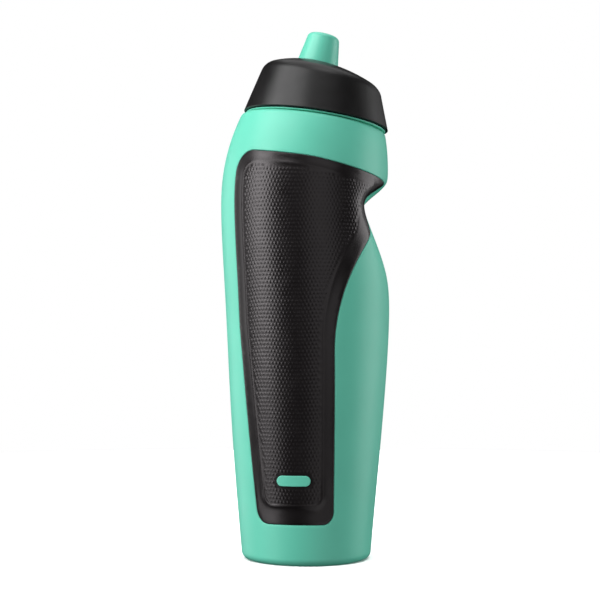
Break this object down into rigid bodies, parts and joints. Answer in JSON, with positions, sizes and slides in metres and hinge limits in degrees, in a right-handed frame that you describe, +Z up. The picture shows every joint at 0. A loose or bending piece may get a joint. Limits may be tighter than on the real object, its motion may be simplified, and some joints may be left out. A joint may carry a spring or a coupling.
{
  "type": "sports squeeze bottle",
  "caption": "Squeezable sports bottle with a thumb notch, textured rubber side grips, a leaning neck, a sloping screw cap and a push-pull drinking spout.",
  "frame": {"origin": "centre of the foot ring, on the surface that the bottle stands on", "axes": "+Z up along the body, +X towards the thumb notch, which is also the way the neck and cap lean, +Y to the bottle's right grip"},
  "size_m": [0.0773, 0.077, 0.2413],
  "materials": {
    "mint_body": "satin",
    "mint_trim": "satin",
    "cap_black": "satin",
    "grip_rubber": "matte",
    "clear_silicone": "satin",
    "black_rubber": "matte"
  },
  "bodies": {
    "bottle": {"bottle_body": "mint_body", "left_grip": "grip_rubber", "right_grip": "grip_rubber", "left_inlay": "mint_trim", "right_inlay": "mint_trim"},
    "gasket": {"cap_seal": "clear_silicone"},
    "cap": {"cap_shell": "cap_black", "valve_plug": "cap_black", "spout_o_ring": "black_rubber", "flow_valve": "clear_silicone", "valve_retainer": "cap_black"},
    "nozzle": {"spout": "mint_trim"}
  },
  "joints": [
    {"name": "cap_lift", "type": "slide", "parent": "bottle", "child": "gasket", "axis": [0.1426, 0, 0.9898], "range_m": [0, 0.024]},
    {"name": "cap_turn", "type": "hinge", "parent": "gasket", "child": "cap", "pos_m": [0.00429, 0, 0.19844], "axis": [0.1426, 0, 0.9898], "range_deg": [0, 2160]},
    {"name": "spout_slide", "type": "slide", "parent": "cap", "child": "nozzle", "axis": [0.2147, 0, 0.9767], "range_m": [0, 0.006]}
  ],
  "couplings": [
    {"joint": "cap_turn", "follows": "cap_lift", "rad_per_m": 1570.8}
  ]
}
